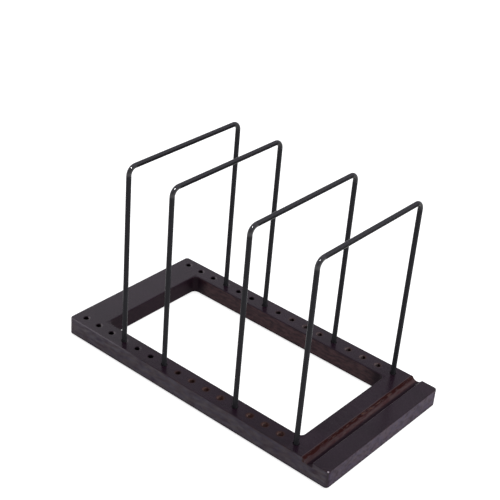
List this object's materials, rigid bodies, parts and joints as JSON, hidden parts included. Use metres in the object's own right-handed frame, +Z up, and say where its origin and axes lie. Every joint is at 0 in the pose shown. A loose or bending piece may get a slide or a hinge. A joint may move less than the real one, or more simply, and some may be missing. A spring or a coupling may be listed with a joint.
{
  "type": "record storage stand",
  "caption": "Low wooden base board with a large opening, a display groove and rows of holes that hold lift-out wire hoops, between which records stand on edge.",
  "frame": {"origin": "on the floor, under the middle of the base board's length and width", "axes": "+X across the board, +Y from the front edge with the display groove to the back edge, +Z up"},
  "size_m": [0.189, 0.36, 0.2325],
  "materials": {
    "stained_wood": "espresso stain under satin lacquer",
    "black_wire": "satin black coating",
    "rubber_pad": "matt"
  },
  "bodies": {
    "base": {"base_board": "stained_wood", "foot_pad_front_left": "rubber_pad", "foot_pad_front_right": "rubber_pad", "foot_pad_back_left": "rubber_pad", "foot_pad_back_right": "rubber_pad"},
    "divider_1": {"divider_1": "black_wire"},
    "divider_2": {"divider_2": "black_wire"},
    "divider_3": {"divider_3": "black_wire"},
    "divider_4": {"divider_4": "black_wire"}
  },
  "joints": [
    {"name": "divider_1_lift", "type": "slide", "parent": "base", "child": "divider_1", "axis": [0, 0, 1], "range_m": [0, 0.02]},
    {"name": "divider_2_lift", "type": "slide", "parent": "base", "child": "divider_2", "axis": [0, 0, 1], "range_m": [0, 0.02]},
    {"name": "divider_3_lift", "type": "slide", "parent": "base", "child": "divider_3", "axis": [0, 0, 1], "range_m": [0, 0.02]},
    {"name": "divider_4_lift", "type": "slide", "parent": "base", "child": "divider_4", "axis": [0, 0, 1], "range_m": [0, 0.02]}
  ]
}
